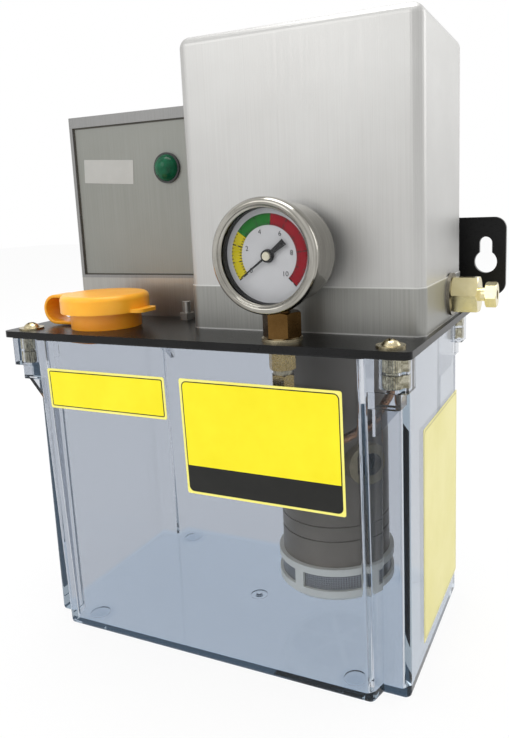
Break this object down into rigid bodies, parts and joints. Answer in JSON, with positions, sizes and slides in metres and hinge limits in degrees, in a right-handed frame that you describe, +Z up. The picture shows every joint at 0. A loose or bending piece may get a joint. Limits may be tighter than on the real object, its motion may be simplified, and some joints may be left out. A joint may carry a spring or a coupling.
{
  "type": "electric grease pump",
  "caption": "Electric lubrication pump: clear grease tank under a black folded deck plate with motor box, control box, filler cap, pressure gauge and side outlet; a gear pump hangs in the tank.",
  "frame": {"origin": "centre of the tank's underside", "axes": "+Z up, -Y towards the front with the gauge, +X towards the outlet"},
  "size_m": [0.2356, 0.131, 0.281],
  "materials": {
    "clear_tank": "clear, polished",
    "brass": "turned",
    "gasket": "matt",
    "deck_black": "satin powder coat",
    "yellow_zinc": "yellow passivated",
    "cover_aluminium": "brushed, satin anodised",
    "steel": "bright",
    "copper": "drawn tube",
    "pump_iron": "machined and blackened",
    "plug_steel": "turned",
    "white_plastic": "moulded",
    "mesh_steel": "woven",
    "gauge_steel": "polished stainless",
    "gauge_window": "polished",
    "dial_white": "matt",
    "pointer_black": "matt",
    "box_grey": "satin",
    "lamp_green": "glossy",
    "black_plastic": "moulded",
    "board_green": "lacquered",
    "orange_plastic": "moulded"
  },
  "bodies": {
    "base": {"tank": "clear_tank", "thread_inserts": "brass", "deck_gasket": "gasket", "deck_plate": "deck_black", "deck_screws": "yellow_zinc", "deck_washers": "yellow_zinc", "base_block": "cover_aluminium", "motor_cover": "cover_aluminium", "cover_screws": "steel", "lower_bell": "cover_aluminium", "upper_bell": "cover_aluminium", "stator": "steel", "windings": "copper", "motor_screws": "steel", "motor_bearings": "steel", "clamp_bolts": "steel", "pump_column": "pump_iron", "shaft_seal": "gasket", "shaft_bushes": "brass", "gear_plate": "pump_iron", "idler_pin": "steel", "end_cover": "pump_iron", "pump_bolts": "steel", "strainer_cage": "white_plastic", "strainer_mesh": "mesh_steel", "port_plug": "plug_steel", "discharge_pipe": "copper", "gauge_line": "copper", "pipe_nuts": "brass", "bulkhead_fitting": "brass", "gauge_stem": "brass", "gauge_nut": "brass", "gauge_case": "gauge_steel", "gauge_bezel": "gauge_steel", "gauge_seal": "gasket", "gauge_glass": "gauge_window", "gauge_dial": "dial_white", "bourdon_tube": "brass", "gauge_movement": "brass", "outlet_body": "brass", "outlet_washer": "steel", "outlet_nut": "brass", "outlet_sleeve": "brass", "control_base": "box_grey", "control_housing": "box_grey", "control_panel": "box_grey", "lamp_lens": "lamp_green", "lamp_body": "black_plastic", "circuit_board": "board_green", "cable_gland": "black_plastic", "filler_neck": "orange_plastic", "cap_strap": "orange_plastic"},
    "cap": {"filler_cap": "orange_plastic"},
    "pointer": {"gauge_pointer": "pointer_black"},
    "drive": {"rotor": "steel", "motor_shaft": "steel", "coupling": "steel", "pump_shaft": "steel", "drive_gear": "steel"},
    "driven": {"driven_gear": "steel"}
  },
  "joints": [
    {"name": "cap_hinge", "type": "hinge", "parent": "base", "child": "cap", "pos_m": [-0.0851, -0.0356, 0.1609], "axis": [0, -1, 0], "range_deg": [0, 110], "deforming": ["cap_strap"]},
    {"name": "pointer_sweep", "type": "hinge", "parent": "base", "child": "pointer", "pos_m": [0.043, -0.05, 0.188], "axis": [0, 1, 0], "range_deg": [0, 262], "stiffness_Nm_per_rad": 0.0005},
    {"name": "drive_spin", "type": "hinge", "parent": "base", "child": "drive", "pos_m": [0.043, 0.006, 0.1], "axis": [0, 0, 1], "continuous": true},
    {"name": "driven_spin", "type": "hinge", "parent": "base", "child": "driven", "pos_m": [0.043, -0.0084, 0.055], "axis": [0, 0, 1], "continuous": true}
  ],
  "couplings": [
    {"joint": "driven_spin", "follows": "drive_spin", "ratio": -1}
  ]
}
